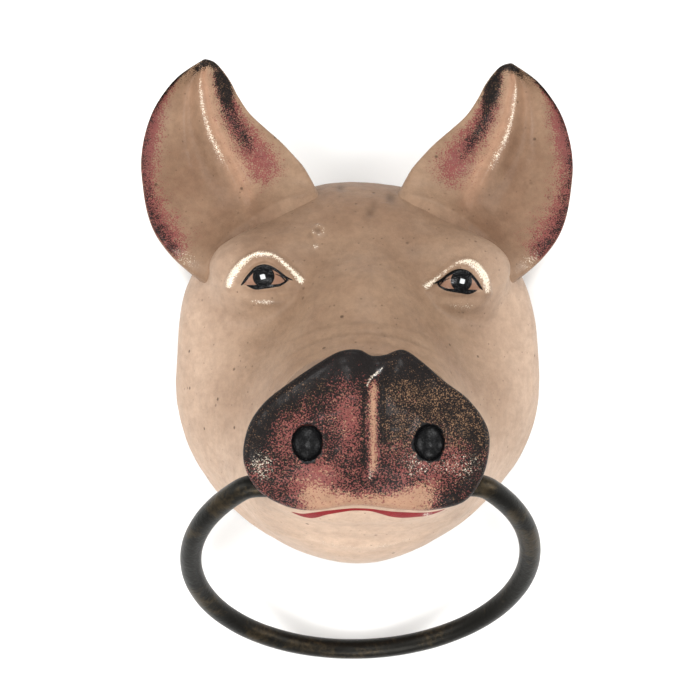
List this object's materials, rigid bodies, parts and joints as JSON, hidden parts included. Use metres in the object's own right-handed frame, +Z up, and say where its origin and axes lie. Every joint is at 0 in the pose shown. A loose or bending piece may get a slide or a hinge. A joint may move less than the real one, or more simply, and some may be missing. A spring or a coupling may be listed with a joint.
{
  "type": "bacon press",
  "caption": "Weighted press in the shape of a pig's head, lying face up on a flat press plate, with a swinging ring handle behind the snout.",
  "frame": {"origin": "centre of the press plate's bottom face", "axes": "+Z up from the press face to the snout, +Y towards the ears, +X to the right of someone who looks down at the face with the ears away from them"},
  "size_m": [0.1794, 0.2436, 0.106],
  "materials": {
    "painted_skin": "gloss varnish over hand-sprayed paint",
    "painted_snout": "gloss varnish over hand-sprayed paint",
    "ring_steel": "blackened, worn to bare metal where it rubs",
    "bare_iron": "ground flat, seasoned",
    "screw_steel": "satin"
  },
  "bodies": {
    "head": {"base_plate": "bare_iron", "base_screw_1": "screw_steel", "base_screw_2": "screw_steel", "base_screw_3": "screw_steel", "base_screw_4": "screw_steel", "head_shell": "painted_skin", "ear_left": "painted_skin", "ear_screw_left_1": "screw_steel", "ear_screw_left_2": "screw_steel", "ear_right": "painted_skin", "ear_screw_right_1": "screw_steel", "ear_screw_right_2": "screw_steel", "snout": "painted_snout", "snout_washer_1": "screw_steel", "snout_screw_1": "screw_steel", "snout_washer_2": "screw_steel", "snout_screw_2": "screw_steel"},
    "ring": {"ring": "ring_steel"}
  },
  "joints": [
    {"name": "ring_swing", "type": "hinge", "parent": "head", "child": "ring", "pos_m": [0, -0.043, 0.091], "axis": [-1, 0, 0], "range_deg": [0, 248]}
  ]
}
